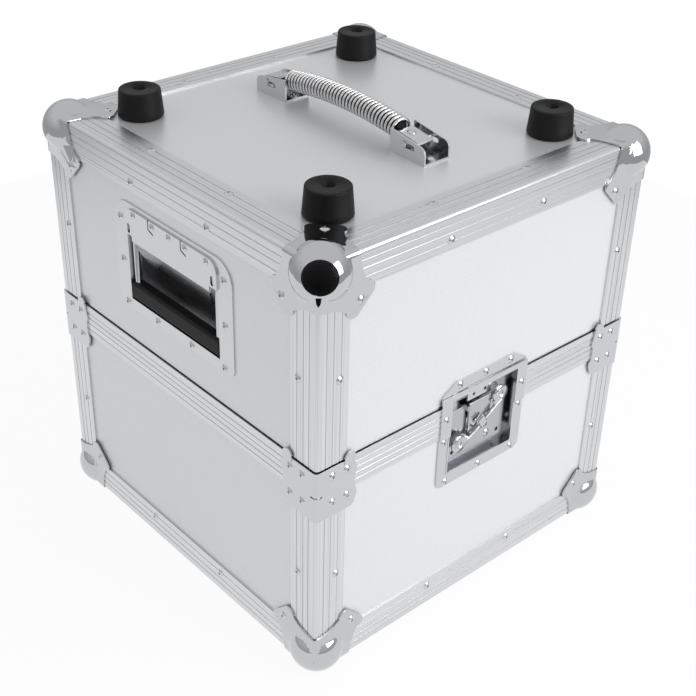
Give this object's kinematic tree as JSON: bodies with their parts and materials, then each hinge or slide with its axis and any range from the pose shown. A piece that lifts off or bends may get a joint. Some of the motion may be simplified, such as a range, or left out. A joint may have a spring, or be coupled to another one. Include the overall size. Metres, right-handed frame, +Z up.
{
  "type": "record carrying case",
  "caption": "Square carrying case with ball corners, a hinged lid, a recessed turn latch, folding side handles and a coil-sleeved handle on the lid.",
  "frame": {"origin": "centre of the four bottom ball corners, on the floor", "axes": "+Z up, front with the latch towards -Y, hinges at +Y, +X to the right of someone facing the front"},
  "size_m": [0.377, 0.377, 0.4209],
  "materials": {
    "laminated_plywood": "semi-gloss silver laminate over plywood",
    "aluminium_profile": "natural extruded, satin",
    "bright_steel": "bright plated pressed steel",
    "zinc_plate": "bright zinc plate",
    "rivet_steel": "bright plated",
    "black_rubber": "matt black",
    "black_strap": "matt black"
  },
  "bodies": {
    "body": {"body_front_panel": "laminated_plywood", "body_back_panel": "laminated_plywood", "body_left_panel": "laminated_plywood", "body_right_panel": "laminated_plywood", "body_base_panel": "laminated_plywood", "body_upright_profiles": "aluminium_profile", "body_base_cross_profiles": "aluminium_profile", "body_base_side_profiles": "aluminium_profile", "body_rim_profiles": "aluminium_profile", "body_ball_corners": "bright_steel", "seam_brackets": "bright_steel", "body_rivets": "rivet_steel", "latch_dish": "bright_steel", "latch_base_plate": "zinc_plate", "latch_dish_rivets": "rivet_steel", "hinge_body_leaves": "bright_steel", "hinge_pins": "bright_steel", "hinge_body_rivets": "rivet_steel"},
    "lid": {"lid_front_panel": "laminated_plywood", "lid_back_panel": "laminated_plywood", "lid_left_panel": "laminated_plywood", "lid_right_panel": "laminated_plywood", "lid_top_panel": "laminated_plywood", "lid_upright_profiles": "aluminium_profile", "lid_top_cross_profiles": "aluminium_profile", "lid_top_side_profiles": "aluminium_profile", "lid_rim_profiles": "aluminium_profile", "lid_ball_corners": "bright_steel", "lid_rivets": "rivet_steel", "latch_strike": "bright_steel", "latch_strike_rivets": "rivet_steel", "hinge_lid_leaves": "bright_steel", "hinge_lid_rivets": "rivet_steel", "left_handle_dish": "bright_steel", "left_handle_hood": "bright_steel", "right_handle_dish": "bright_steel", "right_handle_hood": "bright_steel", "handle_dish_rivets": "rivet_steel", "top_handle_brackets": "bright_steel", "top_handle_bracket_rivets": "rivet_steel", "rubber_feet": "black_rubber", "foot_screws": "bright_steel"},
    "latch_spindle": {"latch_spindle": "bright_steel", "latch_wing_pin": "bright_steel"},
    "latch_wing": {"latch_wing": "bright_steel"},
    "latch_hook": {"latch_hook": "zinc_plate"},
    "left_bail": {"left_handle_bail": "bright_steel", "left_handle_grip": "black_rubber"},
    "right_bail": {"right_handle_bail": "bright_steel", "right_handle_grip": "black_rubber"},
    "top_handle": {"top_handle_core": "black_strap", "top_handle_coil": "bright_steel", "top_handle_end_fittings": "bright_steel", "top_handle_pins": "bright_steel", "top_handle_fitting_rivets": "rivet_steel"}
  },
  "joints": [
    {"name": "lid_hinge", "type": "hinge", "parent": "body", "child": "lid", "pos_m": [0, 0.1846, 0.217], "axis": [-1, 0, 0], "range_deg": [0, 180]},
    {"name": "latch_turn", "type": "hinge", "parent": "body", "child": "latch_spindle", "pos_m": [0.002, -0.18, 0.183], "axis": [0, -1, 0], "range_deg": [0, 180]},
    {"name": "wing_fold", "type": "hinge", "parent": "latch_spindle", "child": "latch_wing", "pos_m": [0.0039, -0.1785, 0.18018], "axis": [0.829, 0, 0.5592], "range_deg": [0, 90]},
    {"name": "hook_slide", "type": "slide", "parent": "body", "child": "latch_hook", "axis": [0, 0, 1], "range_m": [0, 0.008]},
    {"name": "left_handle_swing", "type": "hinge", "parent": "lid", "child": "left_bail", "pos_m": [-0.1746, 0, 0.3185], "axis": [0, 1, 0], "range_deg": [0, 90]},
    {"name": "right_handle_swing", "type": "hinge", "parent": "lid", "child": "right_bail", "pos_m": [0.1746, 0, 0.3185], "axis": [0, -1, 0], "range_deg": [0, 90]},
    {"name": "top_handle_slide", "type": "slide", "parent": "lid", "child": "top_handle", "axis": [0, 1, 0], "range_m": [-0.01, 0]}
  ],
  "couplings": [
    {"joint": "hook_slide", "follows": "latch_turn", "m_per_rad": 0.002546}
  ]
}
